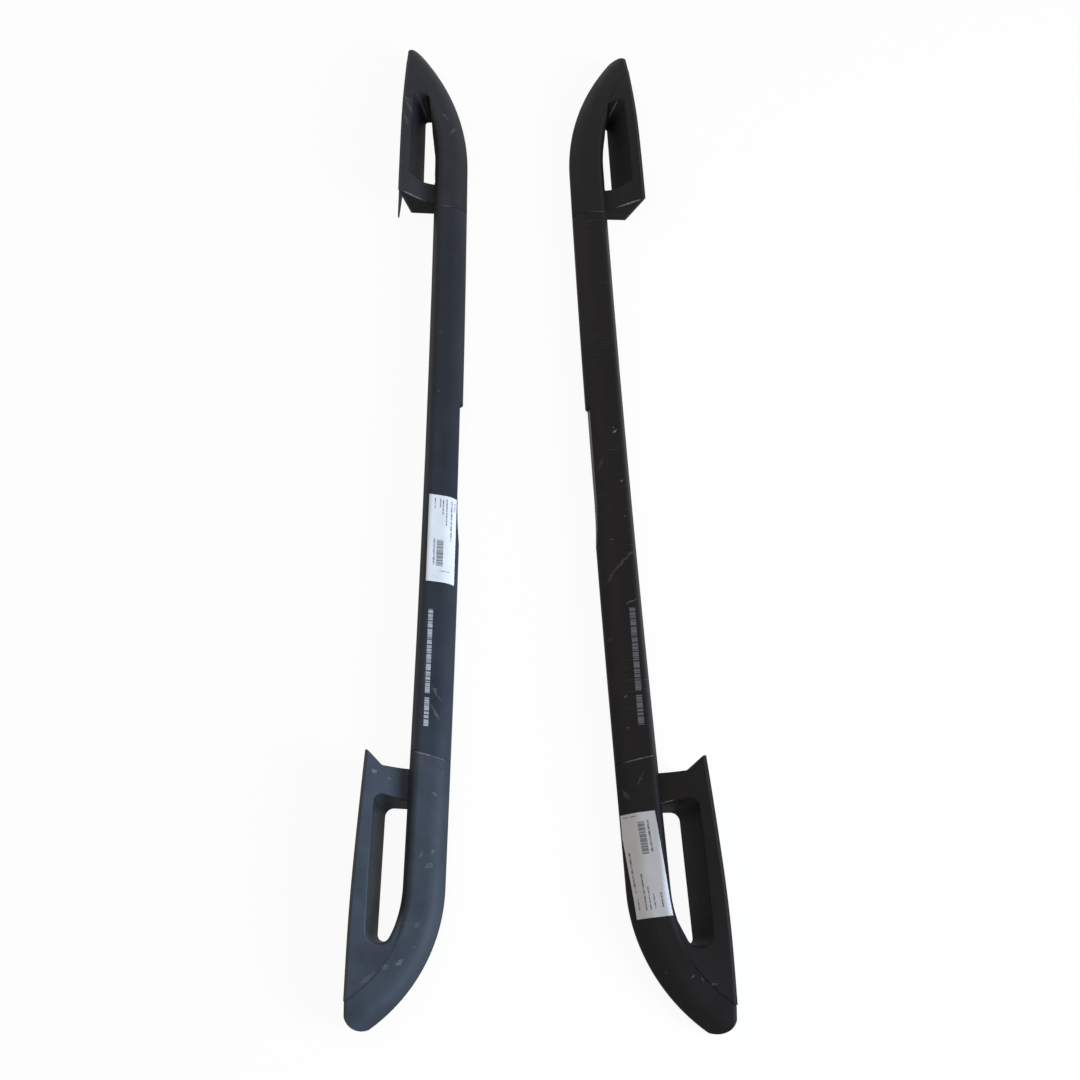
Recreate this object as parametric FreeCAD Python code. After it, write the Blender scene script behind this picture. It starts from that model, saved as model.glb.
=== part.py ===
import FreeCAD, Part
import math
import os

# A mirrored pair of roof rails, lying on their inner sides with the rail tops towards each other.
# Each rail is drawn for the left side: X runs from the sole to the rail top, Y along the rail
# (front is +Y), Z up from the floor. The right rail is its mirror image.

Vector = FreeCAD.Vector
UP = Vector(0, 0, 1)
ACROSS = Vector(1, 0, 0)
ALONG = Vector(0, 1, 0)

# Layout of the pair on the floor
SOLE_LINE_X = 155.8          # from the pair's middle plane to each sole line
TOE_IN = 1.46                # each rail's front end leans inwards, degrees

# The bar and its arch
HALF_BAR = 338.0             # from the rail's middle to each seam
ARCH_R = 28000.0             # the bar's crown along its length
NOSE_X = 84.5                # height of the rail top above the sole line
BACK_X = 43.0                # the bar's face towards the sole
RIDGE_Z = 28.0               # thickest place of the bar, above the floor
WALL = 3.0                   # wall of the tube
SOLID_NOSE = 9.0             # solid metal under the rail top
SEAM_SLANT = 9.7             # the seams run slightly askew, degrees
SEAM_X = BACK_X + 21.0       # the seam's pivot, in the middle of the section
END_RUN = 15.0               # straight run before each seam

# Section of the bar: corner across, corner up, corner radius
SECTION = [
    (BACK_X + 1.5, 0.0, 5.0),
    (NOSE_X - 6.0, 0.0, 9.0),
    (NOSE_X + 1.8, 8.5, 6.0),
    (NOSE_X - 11.0, RIDGE_Z - 5.5, 26.0),
    (BACK_X + 6.0, RIDGE_Z, 6.0),
    (BACK_X, RIDGE_Z - 8.5, 5.0),
]

# The seat in the rail top
SEAT_FRONT = 71.0            # square step
SEAT_REAR = -50.0            # end of the full depth
SEAT_RAMP = 60.0             # run-out towards the rear
SEAT_DEPTH = 4.0
SEAT_SKIM = 0.2              # the run-out stays this far above the seat's floor

# The soles
SOLE_TILT = 23.5             # the sole leans under the rail, degrees
SOLE_EDGE_Z = 36.0           # upper edge of the sole, above the floor
GASKET_T = 2.5
PLATE_T = 8.5                # sole plate and gasket together

# The strap window
WINDOW_CORNER = 9.0
WINDOW_SINK = 20.0           # the opening is drawn this far into the arm
RIM_ROUND = 3.0
HEEL_ROUND = 1.0

# The heel's lip and the tip
LIP_CORNER = 5.0
LIP_FLAT = 1.2               # the lip's point is blunted by this much
TIP_REACH = 240.0            # from the seam to the tip

# What differs between the two ends: the curve to the tip, the turn of the sole, the heel and the
# window. Pairs are at the floor and at the rim. The front window ends in a ramp; the rear one runs
# round with the arm, up to a stated turn of its curve.
ENDS = {
    "front": {
        "curve_start": 72.0, "curve_r": 310.0, "sole_turn": 0.2, "tip_r": 13.0, "setback": 11.0,
        "wall": (30.0, 9.3), "heel": (46.0, 36.0),
        "window_tip": (157.0, 182.0), "tip_bar_side": (41.5, 30.0), "tip_corner": (4.5, 10.0),
    },
    "rear": {
        "curve_start": 127.0, "curve_r": 160.0, "sole_turn": 2.0, "tip_r": 17.0, "setback": 14.0,
        "lip_slant": 41.0, "wall": (22.0, 9.3), "heel": (51.0, 39.0), "window_turn": 23.0,
    },
}

# The plug in the bar's end and its screws
PLUG_LENGTH = 50.0
PLUG_CLEAR = 0.35
SCREW_Y = (-0.28 * PLUG_LENGTH, -0.72 * PLUG_LENGTH)
SCREW_X = BACK_X + 18.0
SCREW_R = 2.0
SCREW_LENGTH = 14.0
SCREW_HEAD_R = 4.2
SCREW_HEAD_H = 1.4
SCREW_SEAT_Z = 1.6
SCREW_CLEAR = 0.3

# Threaded inserts in the soles
INSERT_Y = (28.5, 199.0)
INSERT_Z = 14.0
INSERT_R = 5.0
INSERT_LENGTH = 12.0
THREAD_R = 2.5
THREAD_DEPTH = 10.0
INSERT_CLEAR = 0.3
GASKET_CLEAR = 0.5           # round the insert, in the gasket

# Loose end of the left front gasket
TAIL_LENGTH = 28.0
TAIL_WIDTH = 9.0
TAIL_END = 2.0
TAIL_T = 1.2

# Groove round each seam
GROOVE_W = 0.6
GROOVE_DEPTH = 0.8

# Paper labels on the upper faces: one on the left bar, one on the right rear foot
LABEL_T = 0.2
LABEL_LIFT = 0.3
LABEL_LOW = 0.58 * RIDGE_Z
BAR_LABEL_Y = (-154.0, -53.0)
BAR_LABEL_X = (BACK_X + 6.5, NOSE_X - 3.5)
FOOT_LABEL_Y = (55.0, 154.0)
FOOT_LABEL_X = (BACK_X + 10.0, NOSE_X + 1.0)
FOOT_LABEL_LOW = 0.42 * RIDGE_Z
FOOT_LABEL_TURN = 4.5


def rounded_wire(corners):
    """A closed wire in the XY plane with each corner rounded to its own radius."""
    arcs = []
    for i, (a, b, radius) in enumerate(corners):
        corner = Vector(a, b, 0)
        before = Vector(corners[i - 1][0], corners[i - 1][1], 0)
        after = Vector(corners[(i + 1) % len(corners)][0], corners[(i + 1) % len(corners)][1], 0)
        to_before = (before - corner).normalize()
        to_after = (after - corner).normalize()
        half = to_before.getAngle(to_after) / 2
        reach = radius / math.tan(half)
        middle = (to_before + to_after).normalize() * (radius / math.sin(half) - radius)
        arcs.append((corner + to_before * reach, corner + middle, corner + to_after * reach))
    edges = []
    for i, (start, middle, end) in enumerate(arcs):
        edges.append(Part.Arc(start, middle, end).toShape())
        edges.append(Part.LineSegment(end, arcs[(i + 1) % len(arcs)][0]).toShape())
    return Part.Wire(edges)


def stand(shape):
    """Turns a flat drawing from the XY plane to the XZ plane."""
    shape.rotate(Vector(0, 0, 0), ACROSS, 90)
    return shape


def block(x0, x1, y0, y1, z0, z1):
    return Part.makeBox(x1 - x0, y1 - y0, z1 - z0, Vector(x0, y0, z0))


def along_arch(shape, distance):
    """Moves a shape along the bar's crown."""
    shape.rotate(Vector(NOSE_X - ARCH_R, 0, 0), UP, math.degrees(distance / ARCH_R))
    return shape


def seam_side(towards_foot):
    """Everything on one side of the slanted seam plane."""
    side = block(-100, 200, 0, 700, -50, 100) if towards_foot else block(-100, 200, -700, 0, -50, 100)
    side.rotate(Vector(SEAM_X, 0, 0), UP, SEAM_SLANT)
    return side


def below_sole(depth, turn):
    """Everything outside a plane that lies a stated depth inside the gasket's face."""
    outside = block(-200, 0, -80, 400, -150, 150)
    outside.rotate(Vector(0, 0, 0), ALONG, -SOLE_TILT)
    tilt = math.radians(SOLE_TILT)
    outside.translate(Vector(depth * math.cos(tilt), 0, SOLE_EDGE_Z + depth * math.sin(tilt)))
    outside.rotate(Vector(0, 0, 0), UP, turn)
    return outside


def free_outline(face):
    """The same face with its straight edges drawn as splines, so that a bend has no true cones."""
    wires = []
    for wire in face.Wires:
        edges = []
        for edge in wire.OrderedEdges:
            edges.append(edge.toNurbs().Edges[0] if edge.Curve.TypeId == "Part::GeomLine" else edge)
        wires.append(Part.Wire(edges))
    return Part.Face(wires)


def section_face():
    return Part.Face(stand(rounded_wire(SECTION)))


def hollow_face(clearance):
    """The tube's hollow, less a clearance all round, with the nose left solid."""
    inner = Part.Face(rounded_wire(SECTION)).makeOffset2D(-WALL - clearance)
    keep = Part.makePlane(NOSE_X - SOLID_NOSE - clearance, 100, Vector(0, -20, 0))
    return stand(inner.common(keep).Faces[0])


def revolve_along_arch(face, reach):
    """Sweeps a section along the crown, the same distance to both sides of the middle."""
    angle = math.degrees(reach / ARCH_R)
    start = face.copy()
    start.rotate(Vector(NOSE_X - ARCH_R, 0, 0), UP, -angle)
    return start.revolve(Vector(NOSE_X - ARCH_R, 0, 0), UP, 2 * angle)


def mirrored_ends(shape):
    return shape, shape.mirror(Vector(0, 0, 0), ALONG)


def sweep_bar(face):
    """Sweeps a section along the crown, with a short straight run through each seam."""
    swept = revolve_along_arch(face, HALF_BAR - END_RUN)
    for run in mirrored_ends(along_arch(face.extrude(ALONG * 2 * END_RUN), HALF_BAR - END_RUN)):
        swept = swept.fuse(run)
    return swept


def screw_holes(radius, z0, z1):
    holes = [Part.makeCylinder(radius, z1 - z0, Vector(SCREW_X, y, z0)) for y in SCREW_Y]
    return Part.makeCompound(holes)


def make_seat():
    """The milled seat in the rail top: a floor that follows the crown, and a cutter's run-out."""
    side = Part.makePlane(60, 10 + SEAT_DEPTH, Vector(NOSE_X - SEAT_DEPTH, 0, -5), ALONG, UP)
    along_arch(side, SEAT_REAR)
    turn = math.degrees((SEAT_FRONT - SEAT_REAR) / ARCH_R)
    floor = side.revolve(Vector(NOSE_X - ARCH_R, 0, 0), UP, turn)
    cutter_r = SEAT_RAMP ** 2 / (2 * SEAT_DEPTH)
    cutter_x = NOSE_X - SEAT_DEPTH + SEAT_SKIM + cutter_r
    run_out = Part.makeCylinder(cutter_r, 60, Vector(cutter_x, SEAT_REAR, -5))
    return floor, run_out


def make_bar():
    bar = sweep_bar(section_face()).cut(sweep_bar(hollow_face(0)))
    for tool in make_seat():
        bar = bar.cut(tool)
    for end in mirrored_ends(along_arch(seam_side(True), HALF_BAR)):
        bar = bar.cut(end)
    for hole in (screw_holes(SCREW_R + SCREW_CLEAR, -1, 10), screw_holes(SCREW_HEAD_R + SCREW_CLEAR, -1, SCREW_SEAT_Z)):
        for end in mirrored_ends(along_arch(hole, HALF_BAR)):
            bar = bar.cut(end)
    return bar


def sweep_arm(face, end):
    """Sweeps a section straight on from the seam and then round the curve to the tip."""
    start = free_outline(face)
    start.translate(ALONG * -10)
    straight = start.extrude(ALONG * (end["curve_start"] + 10))
    bend = free_outline(face)
    bend.translate(ALONG * end["curve_start"])
    centre = Vector(NOSE_X - end["curve_r"], end["curve_start"], 0)
    return straight.fuse(bend.revolve(centre, UP, 75))


def seam_groove():
    """A narrow ring just outside the seam plane, round the bar's section."""
    ring = block(-100, 200, 0, GROOVE_W, -50, 100)
    ring.rotate(Vector(SEAM_X, 0, 0), UP, SEAM_SLANT)
    core = stand(Part.Face(rounded_wire(SECTION)).makeOffset2D(-GROOVE_DEPTH))
    core.translate(ALONG * -20)
    return ring.cut(core.extrude(ALONG * 40))


def make_arm(end):
    """The moulded continuation of the bar, curving down to the tip."""
    return sweep_arm(section_face(), end).cut(seam_side(False)).cut(seam_groove())


def crown_section(y, edge_z, join_z):
    """One section of the web between the sole and the bar, crowned at the sole's edge."""
    top = Part.BSplineCurve()
    top.interpolate([
        Vector(-16, y, edge_z + 2.5),
        Vector(8, y, edge_z - 1.5),
        Vector(BACK_X - 3, y, join_z),
        Vector(BACK_X + 12, y, join_z),
    ])
    low_sole = Vector(-16, y, 0)
    low_bar = Vector(BACK_X + 12, y, 0)
    return Part.Wire([
        top.toShape(),
        Part.LineSegment(top.EndPoint, low_bar).toShape(),
        Part.LineSegment(low_bar, low_sole).toShape(),
        Part.LineSegment(low_sole, top.StartPoint).toShape(),
    ])


def inside_ridge(end):
    """The ground that the web may cover: up to the bar's ridge and its curve to the tip."""
    ridge_x = BACK_X + 8
    centre = Vector(NOSE_X - end["curve_r"], end["curve_start"], -5)
    disc = Part.makeCylinder(ridge_x - centre.x, 80, centre)
    return block(-60, ridge_x, -20, end["curve_start"], -5, 75).fuse(disc)


def curved_tip(end, wall):
    """Where a window that follows the arm closes: a line along the arm's back, rounded into the wall."""
    turn = math.radians(end["window_turn"])
    centre_x = NOSE_X - end["curve_r"]
    touch_x = centre_x + (BACK_X - centre_x) * math.cos(turn)
    touch_y = end["curve_start"] + (BACK_X - centre_x) * math.sin(turn)
    inside_x = BACK_X + WINDOW_SINK
    inside_y = touch_y - (inside_x - touch_x) / math.tan(turn)
    point_y = touch_y + (touch_x - wall) / math.tan(turn)
    return [(inside_x, inside_y, 1.0), (wall, point_y, (touch_x - wall) / (1 + math.cos(turn)))]


def window_tool(floor, rim):
    """A drafted opening between an outline at the floor and one at the rim, run past both."""
    wires = []
    for z in (-6.0, 44.0):
        share = z / SOLE_EDGE_Z
        corners = [[a + (b - a) * share for a, b in zip(low, high)] for low, high in zip(floor, rim)]
        wire = rounded_wire(corners)
        wire.translate(UP * z)
        wires.append(wire)
    return Part.makeLoft(wires, True, True)


def make_window(end):
    """The window as cut in the web: its bar side lies within the arm."""
    outlines = []
    for level in (0, 1):
        wall = end["wall"][level]
        heel = end["heel"][level]
        inside_x = BACK_X + WINDOW_SINK
        corners = [(wall, heel, WINDOW_CORNER), (inside_x, heel, 1.0)]
        if "window_turn" in end:
            corners += curved_tip(end, wall)
        else:
            tip = end["window_tip"][level]
            corners += [(inside_x, tip, 1.0), (wall, tip, end["tip_corner"][level])]
        outlines.append(corners)
    return window_tool(*outlines)


def make_arm_relief(end):
    """What a straight window takes off the back of the arm where the arm starts to curve."""
    outlines = []
    for level in (0, 1):
        tip = end["window_tip"][level]
        outlines.append([
            (end["wall"][level], end["heel"][level], 1.0),
            (BACK_X + 1.0, end["heel"][level], 1.0),
            (end["tip_bar_side"][level], tip, end["tip_corner"][level]),
            (end["wall"][level], tip, end["tip_corner"][level]),
        ])
    return window_tool(*outlines)


def heel_cut(end):
    """What is cut away past the heel: square across, less the sole's pointed lip where it has one."""
    back = end["setback"]
    if "lip_slant" not in end:
        return block(-100, 200, -60, back, -50, 100)
    slope = math.tan(math.radians(end["lip_slant"]))
    outline = rounded_wire([
        (-100, -60, 1.0),
        (200, -60, 1.0),
        (200, back, 1.0),
        (back / slope, back, LIP_CORNER),
        (LIP_FLAT / slope, LIP_FLAT, LIP_FLAT),
        (-100, LIP_FLAT, 1.0),
    ])
    outline.translate(UP * -50)
    return Part.Face(outline).extrude(UP * 150)


def tip_cut(end):
    """What is cut away past the tip, so that the sole's line runs round into the rail top's curve."""
    radius = end["tip_r"]
    ridge_z = section_face().BoundBox.ZMax
    arm_x = NOSE_X - end["curve_r"]
    arm_y = end["curve_start"]
    sole_x = (SOLE_EDGE_Z - ridge_z) * math.tan(math.radians(SOLE_TILT))
    sole_x -= TIP_REACH * math.tan(math.radians(end["sole_turn"]))
    x = sole_x + radius
    y = arm_y + math.sqrt((end["curve_r"] - radius) ** 2 - (x - arm_x) ** 2)
    far = end["curve_r"]
    outward = Vector(x - arm_x, y - arm_y, 0).normalize() * far
    wedge = Part.makePolygon([
        Vector(x, y, -10),
        Vector(x - far, y, -10),
        Vector(x - far, y + far, -10),
        Vector(x + outward.x, y + outward.y, -10),
        Vector(x, y, -10),
    ])
    return Part.Face(wedge).extrude(UP * 80).cut(Part.makeCylinder(radius, 80, Vector(x, y, -10)))


def make_web(end):
    """Sole plate, bridge and tip in one, with the window cut out."""
    ridge_z = section_face().BoundBox.ZMax - 0.05
    levels = [
        (-4, SOLE_EDGE_Z, 19.0),
        (0.21 * TIP_REACH, SOLE_EDGE_Z, 19.0),
        (0.62 * TIP_REACH, SOLE_EDGE_Z - 1, ridge_z - 1.2),
        (0.79 * TIP_REACH, SOLE_EDGE_Z - 3.5, ridge_z),
        (0.97 * TIP_REACH, ridge_z + 1.5, ridge_z),
        (1.25 * TIP_REACH, ridge_z + 1.5, ridge_z),
    ]
    web = Part.makeLoft([crown_section(*level) for level in levels], True)
    web = web.common(block(-60, 120, 0, 1.2 * TIP_REACH, -1, 60))
    web = web.common(inside_ridge(end))
    web = web.cut(heel_cut(end)).cut(make_window(end))
    top = max(web.Faces, key=lambda face: face.CenterOfMass.z * face.Area)
    heel_y = end["setback"] + 1
    rim = []
    for edge in top.Edges:
        box = edge.BoundBox
        if box.YMin > heel_y and -10 < box.XMin < BACK_X:
            rim.append(edge)
    web = web.makeFillet(RIM_ROUND, rim)
    heel = [edge for edge in web.Edges if edge.BoundBox.YMax < heel_y and edge.BoundBox.ZMin > 10]
    return web.makeFillet(HEEL_ROUND, heel)


def sole_normal():
    tilt = math.radians(SOLE_TILT)
    return Vector(-math.cos(tilt), 0, -math.sin(tilt))


def sole_rods(end, radius, depth0, depth1):
    """Round rods square to the sole at the insert places, between two depths below the gasket's face."""
    rods = []
    for y in INSERT_Y:
        x = (SOLE_EDGE_Z - INSERT_Z) * math.tan(math.radians(SOLE_TILT))
        face = Vector(x, y, INSERT_Z)
        rod = Part.makeCylinder(radius, depth1 - depth0, face - sole_normal() * depth0, sole_normal() * -1)
        rod.rotate(Vector(0, 0, 0), UP, end["sole_turn"])
        rods.append(rod)
    return rods


def make_foot(end):
    arm = make_arm(end)
    if "window_tip" in end:
        arm = arm.cut(make_arm_relief(end))
    body = arm.fuse(make_web(end)).removeSplitter().cut(tip_cut(end))
    pocket = Part.makeCompound(sole_rods(end, INSERT_R + INSERT_CLEAR, -1, GASKET_T + INSERT_LENGTH))
    foot = body.cut(below_sole(GASKET_T, end["sole_turn"])).cut(pocket)
    plug = hollow_face(PLUG_CLEAR)
    plug.translate(ALONG * -PLUG_LENGTH)
    plug = plug.extrude(ALONG * (PLUG_LENGTH + 8))
    plug = plug.cut(screw_holes(SCREW_R + SCREW_CLEAR, -1, SCREW_SEAT_Z + SCREW_LENGTH + 1))
    foot = foot.fuse(plug).removeSplitter()
    gasket = body.common(below_sole(GASKET_T, end["sole_turn"])).cut(below_sole(0, end["sole_turn"]))
    gasket = gasket.cut(Part.makeCompound(sole_rods(end, INSERT_R + GASKET_CLEAR, -5, 20)))
    return foot, gasket


def make_inserts(end):
    shells = sole_rods(end, INSERT_R, GASKET_T, GASKET_T + INSERT_LENGTH)
    bores = sole_rods(end, THREAD_R, 0, GASKET_T + THREAD_DEPTH)
    return Part.makeCompound([shell.cut(bore) for shell, bore in zip(shells, bores)])


def make_tail(end):
    """The loose end of a gasket, standing out past the heel."""
    outline = Part.makePolygon([
        Vector(0, end["setback"] + 1, 0),
        Vector(0, -TAIL_LENGTH, 0),
        Vector(0, -TAIL_LENGTH, -TAIL_END),
        Vector(0, end["setback"] + 1, -TAIL_WIDTH),
        Vector(0, end["setback"] + 1, 0),
    ])
    tail = Part.Face(outline).extrude(ACROSS * TAIL_T)
    tail.rotate(Vector(0, 0, 0), ALONG, -SOLE_TILT)
    tail.translate(UP * SOLE_EDGE_Z)
    tail.rotate(Vector(0, 0, 0), UP, end["sole_turn"])
    return tail


def label_face():
    """The section of a label that lies over the bar, drawn all round it."""
    outline = Part.Face(rounded_wire(SECTION))
    return stand(outline.makeOffset2D(LABEL_LIFT + LABEL_T).cut(outline.makeOffset2D(LABEL_LIFT)).Faces[0])


def make_bar_label():
    ring = revolve_along_arch(free_outline(label_face()), HALF_BAR)
    return ring.common(block(*BAR_LABEL_X, *BAR_LABEL_Y, LABEL_LOW, 60))


def make_foot_label(end):
    patch = block(*FOOT_LABEL_X, *FOOT_LABEL_Y, FOOT_LABEL_LOW, 60)
    patch.rotate(Vector(NOSE_X, FOOT_LABEL_Y[0], 0), UP, FOOT_LABEL_TURN)
    return sweep_arm(label_face(), end).common(patch)


def make_screws():
    screws = []
    for y in SCREW_Y:
        head = Part.makeCylinder(SCREW_HEAD_R, SCREW_HEAD_H, Vector(SCREW_X, y, SCREW_SEAT_Z - SCREW_HEAD_H))
        shank = Part.makeCylinder(SCREW_R, SCREW_LENGTH, Vector(SCREW_X, y, SCREW_SEAT_Z))
        socket = Part.makeCylinder(1.5, 0.9, Vector(SCREW_X, y, SCREW_SEAT_Z - SCREW_HEAD_H))
        screws.append(head.fuse(shank).removeSplitter().cut(socket))
    return Part.makeCompound(screws)


def place(shape, side):
    """Sets a left rail's piece in the pair; the right one is mirrored."""
    placed = shape.copy()
    placed.rotate(Vector(0, 0, 0), UP, -TOE_IN)
    placed.translate(Vector(-SOLE_LINE_X, 0, 0))
    if side == "right":
        placed = placed.mirror(Vector(0, 0, 0), ACROSS)
    return placed


os.makedirs("parts", exist_ok=True)
pieces = {"bar": make_bar()}
for name, end in ENDS.items():
    foot, gasket = make_foot(end)
    end_pieces = {"foot": foot, "gasket": gasket, "inserts": make_inserts(end), "joint_screws": make_screws()}
    for kind, shape in end_pieces.items():
        along_arch(shape, HALF_BAR)
        pieces[name + "_" + kind] = shape if name == "front" else shape.mirror(Vector(0, 0, 0), ALONG)
foot_label = along_arch(make_foot_label(ENDS["rear"]), HALF_BAR).mirror(Vector(0, 0, 0), ALONG)
loose_tail = along_arch(make_tail(ENDS["front"]), HALF_BAR)
rails = {"left": dict(pieces, label=make_bar_label()), "right": dict(pieces, label=foot_label)}
rails["left"]["front_gasket"] = pieces["front_gasket"].fuse(loose_tail).removeSplitter()
placed = {side + "_" + name: place(shape, side) for side, rail in rails.items() for name, shape in rail.items()}
box = Part.makeCompound(list(placed.values())).optimalBoundingBox()
for name, shape in placed.items():
    shape.translate(Vector(-box.Center.x, -box.Center.y, -box.ZMin))
    shape.exportStep("parts/" + name + ".step")
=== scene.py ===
import math

import bpy
from mathutils import Matrix, Vector

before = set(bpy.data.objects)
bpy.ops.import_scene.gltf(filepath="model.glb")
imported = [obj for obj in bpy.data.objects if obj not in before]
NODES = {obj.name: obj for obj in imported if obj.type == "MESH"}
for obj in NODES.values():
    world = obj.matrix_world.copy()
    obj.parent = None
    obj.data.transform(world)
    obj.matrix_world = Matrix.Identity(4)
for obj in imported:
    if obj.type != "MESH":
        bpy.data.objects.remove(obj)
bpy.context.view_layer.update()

bl_info = {
    "name": "Pair of roof rails",
    "version": (1, 0, 0),
    "blender": (4, 5, 0),
    "location": "View3D > Sidebar > Roof rails",
    "description": "Gives a mirrored pair of roof rails their finishes and a plain stage",
    "category": "Object",
}

MM_PER_M = 1000.0

# Patches of wear: (x, y, z) of the middle, half length and half width in millimetres, turn in
# degrees and strength from 0 to 1
LEFT_BAR_WEAR = [
    (-98, -277, 26, 11.0, 1.6, -58, 0.35),
    (-99, -297, 26, 11.5, 1.5, -60, 0.30),
    (-110, -258, 24, 18.0, 0.7, 88, 0.18),
    (-97, 154, 26, 5.0, 0.7, 35, 0.20),
]
RIGHT_BAR_WEAR = [
    (98, 30, 26, 3.2, 1.1, 40, 1.0),
    (97, 35, 26, 1.6, 0.7, 80, 0.6),
    (97, -130, 26, 23.0, 1.7, 47, 0.26),
    (86, -145, 24, 8.0, 1.3, 60, 0.30),
    (82, -8, 22, 7.0, 1.6, 65, 0.22),
    (82, -213, 20, 5.0, 1.0, 20, 0.22),
    (103, -32, 27, 1.5, 1.2, 0, 0.65),
    (77, -58, 22, 1.8, 1.4, 0, 0.6),
    (89, -101, 26, 1.7, 1.4, 0, 0.65),
    (94, -276, 26, 2.0, 1.0, 75, 0.7),
    (95, -308, 26, 1.4, 1.2, 0, 0.45),
    (105, -174, 25, 7.0, 1.0, 27, 0.55),
]
LEFT_FOOT_WEAR = [
    (-158, -359, 34, 2.6, 2.2, 0, 0.6),
    (-143, -364, 30, 1.7, 1.6, 0, 0.45),
    (-111, -437, 27, 4.0, 1.6, 70, 0.34),
    (-100, -434, 24, 3.2, 1.5, 60, 0.40),
    (-104, -447, 26, 5.0, 3.0, 20, 0.36),
    (-99, -378, 24, 4.0, 1.2, -35, 0.42),
    (-114, -501, 26, 4.0, 2.6, 40, 0.25),
    (-130, -535, 27, 4.5, 2.6, 30, 0.42),
    (-143, -539, 28, 4.0, 2.4, 15, 0.36),
    (-158, -548, 29, 10.0, 2.0, 38, 0.22),
    (-140, 486, 29, 15.0, 2.8, -62, 0.24),
    (-144, 498, 30, 9.0, 2.6, -40, 0.26),
    (-143, 462, 31, 14.0, 2.6, -75, 0.18),
    (-84, 455, 18, 12.0, 2.6, 60, 0.22),
    (-93, 478, 20, 9.0, 2.6, -50, 0.20),
]
RIGHT_FOOT_WEAR = [
    (89, -374, 25, 9.0, 1.8, -60, 0.24),
    (104, -360, 27, 9.5, 0.8, 62, 0.26),
    (142, -545, 27, 2.0, 1.1, 60, 0.45),
    (150, -547, 27, 1.9, 1.0, -40, 0.50),
    (160, -551, 27, 3.4, 0.9, 10, 0.26),
    (118, -541, 20, 2.4, 1.6, 0, 0.18),
]
# Dark marks on the window wall of the left rear foot, in the same terms
DARK_WALL_MARKS = [
    (-157, -438, 20, 5.0, 1.0, 80, 0.8),
    (-160, -498, 20, 7.0, 1.2, 80, 0.8),
]
# A ring left by the mould's ejector pin on the right rear foot: middle, radius and half width in
# millimetres, and its height where a grain's is about 1
EJECTOR_RING = (160, -434, 22)
RING_RADIUS = 4.5
RING_HALF_WIDTH = 0.9
RING_HEIGHT = 3.0
# A line of print along each bar, drawn as plain strokes: both ends and its height in millimetres, and
# how much of it is left
LEFT_BAR_PRINT = ((-104.6, -187), (-108.4, -312), 4.8, 0.85)
RIGHT_BAR_PRINT = ((105.6, -180), (107.8, -306), 5.8, 0.30)
# Rhythm of its strokes: noise per millimetre along the line, the noise where ink starts and where it is
# full, and the least ink. First come the strokes, then the gaps between groups of them
PRINT_RHYTHM = [
    (0.5, 0.42, 0.50, 0.1),
    (0.07, 0.36, 0.40, 0.0),
]
MARK_DEPTH = 14.0        # half depth of a mark in millimetres, so that it follows the rounded side
MARK_STEEPNESS = 2.4     # how fast a mark grows from its outline to its full strength
FRAYING = 6.0            # reach of the noise that pulls a patch out of shape, in millimetres
# Painted glints: pale lines that stand for highlights along edges, with both ends, half width and half
# depth in
# millimetres, and strength. In order: the heel and the window's end of the front foot, the front seam, the
# rear seam (in two stretches on the left), and on the right the bridge of the rear foot
LEFT_PAINTED_GLINTS = [
    ((-114, 347.4, 19.8), (-147, 347.8, 36.7), 1.0, 1.6, 0.8),
    ((-127, 509.2, 24.5), (-114.5, 494.1, 1.7), 1.0, 1.6, 0.7),
    ((-106, 333.6, 24), (-80, 337.8, 24), 0.7, MARK_DEPTH, 0.35),
    ((-122, -336.8, 26), (-100, -341.4, 26), 0.8, MARK_DEPTH, 0.8),
    ((-106, -340.2, 24), (-84, -344.8, 24), 0.7, MARK_DEPTH, 0.35),
]
RIGHT_PAINTED_GLINTS = [
    ((114, 347.4, 19.8), (147, 347.8, 36.7), 1.0, 1.6, 0.9),
    ((117.5, 501, 11), (127, 512.6, 28.5), 1.1, 1.8, 1.0),
    ((80, 337.8, 24), (106, 333.6, 24), 0.7, MARK_DEPTH, 0.4),
    ((82, -345.1, 26), (122, -336.6, 26), 0.8, MARK_DEPTH, 0.7),
    ((122, -383.5, 17), (138, -380, 22), 0.8, 1.6, 0.7),
]
# The coat grows lighter and cooler from the first place to the second, in millimetres along the rail:
# partly chalking, partly painted light on the rear end
CHALK_AND_LIGHT_START_Y = 200.0
REAR_SEAM_Y = -338.0
LEFT_BAR_HAIR = 0.06     # strength of the hair scratches
RIGHT_BAR_HAIR = 0.16
SATIN_GLOSS = 0.12       # specular level of coat and nylon
NOISE_LOW = 0.3          # noise mostly stays between these two
NOISE_HIGH = 0.7
# The fasteners' threads, in millimetres, and the lean of the left inserts with the soles, in degrees. The
# right inserts share their material
INSERT_PITCH = 0.8
SCREW_PITCH = 0.7
SOLE_TILT = 23.5
WAVE_TURN = 20           # radians that a wave texture turns in a unit, at a scale of 1
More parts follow.
